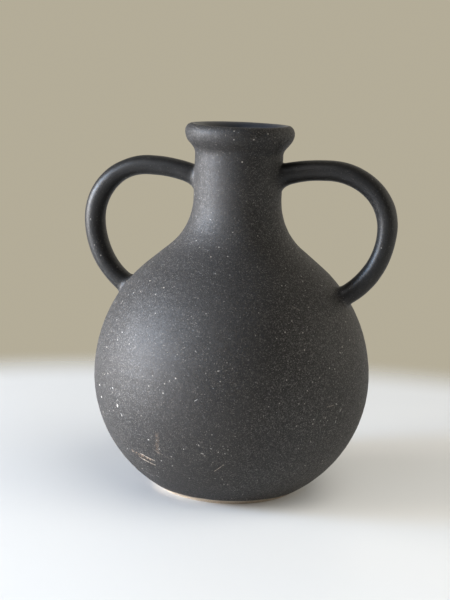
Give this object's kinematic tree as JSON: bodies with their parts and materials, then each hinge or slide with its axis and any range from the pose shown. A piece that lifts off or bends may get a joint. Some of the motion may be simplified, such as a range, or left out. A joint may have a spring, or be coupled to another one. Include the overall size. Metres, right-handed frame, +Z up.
{
  "type": "two-handled clay vase",
  "caption": "Hollow black clay vase with a round globe body, conical shoulder, straight open neck, rolled rim collar and ear handles from neck to shoulder; stands on a flat foot.",
  "frame": {"origin": "centre of the foot, on the table", "axes": "+Z up the vase's turning axis and out of the mouth, +X along the right handle, so both handles lie in the XZ plane"},
  "size_m": [0.1755, 0.153, 0.2015],
  "materials": {
    "matte_black_glaze": "matte black glaze with a fine sugary grain and scattered pale specks",
    "smooth_black_glaze": "the same black glaze, thinner and smoother on the hand-pulled handles",
    "bare_clay": "bare fired buff clay under the foot and in a narrow band around it, black glaze above"
  },
  "bodies": {
    "root": {"base": "bare_clay", "bowl": "matte_black_glaze", "shoulder": "matte_black_glaze", "neck": "matte_black_glaze", "rim_collar": "matte_black_glaze", "left_handle": "smooth_black_glaze", "left_neck_coil": "smooth_black_glaze", "left_globe_coil": "smooth_black_glaze", "right_handle": "smooth_black_glaze", "right_neck_coil": "smooth_black_glaze", "right_globe_coil": "smooth_black_glaze"}
  },
  "joints": []
}
